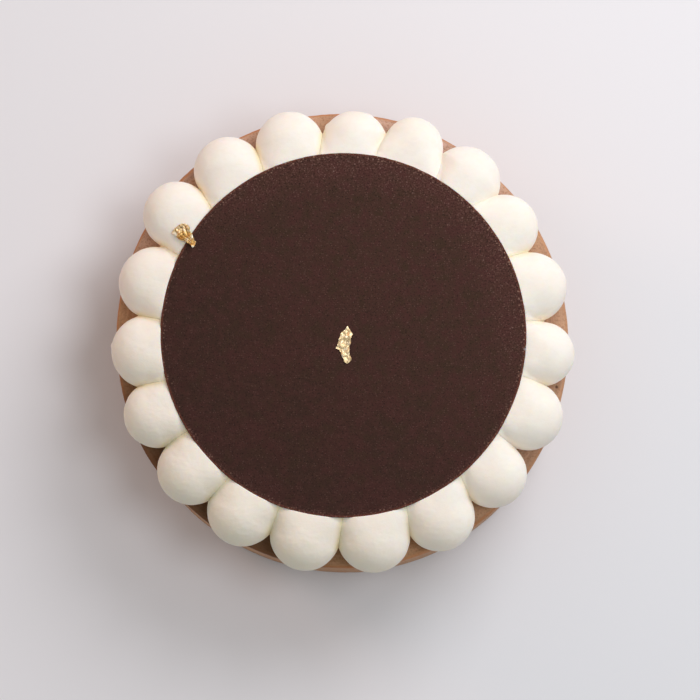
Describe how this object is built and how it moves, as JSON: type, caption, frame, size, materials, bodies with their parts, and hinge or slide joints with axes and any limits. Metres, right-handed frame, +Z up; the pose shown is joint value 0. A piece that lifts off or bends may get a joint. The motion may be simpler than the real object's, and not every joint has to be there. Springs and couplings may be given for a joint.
{
  "type": "chocolate cheesecake",
  "caption": "Whole round chocolate cheesecake with a ring of piped cream balls on its rim, a thin dark chocolate disc resting on them and two small flakes of gold leaf.",
  "frame": {"origin": "centre of the cake's flat base, on the surface it stands on", "axes": "+Z up along the cake's axis, away from the base; the balls are numbered clockwise from +X"},
  "size_m": [0.1818, 0.1827, 0.0694],
  "materials": {
    "milk_chocolate_cake": "smooth set cheesecake, satin, milk-chocolate brown",
    "whipped_cream": "smooth whipped cream, soft sheen, warm white",
    "dark_chocolate": "matt dark chocolate with a fine grain",
    "gold_leaf": "crumpled gold leaf"
  },
  "bodies": {
    "root": {"cake": "milk_chocolate_cake", "cream_ball_01": "whipped_cream", "cream_ball_02": "whipped_cream", "cream_ball_03": "whipped_cream", "cream_ball_04": "whipped_cream", "cream_ball_05": "whipped_cream", "cream_ball_06": "whipped_cream", "cream_ball_07": "whipped_cream", "cream_ball_08": "whipped_cream", "cream_ball_09": "whipped_cream", "cream_ball_10": "whipped_cream", "cream_ball_11": "whipped_cream", "cream_ball_12": "whipped_cream", "cream_ball_13": "whipped_cream", "cream_ball_14": "whipped_cream", "cream_ball_15": "whipped_cream", "cream_ball_16": "whipped_cream", "cream_ball_17": "whipped_cream", "cream_ball_18": "whipped_cream", "cream_ball_19": "whipped_cream", "chocolate_disc": "dark_chocolate", "gold_leaf_centre": "gold_leaf", "gold_leaf_rim": "gold_leaf"}
  },
  "joints": []
}
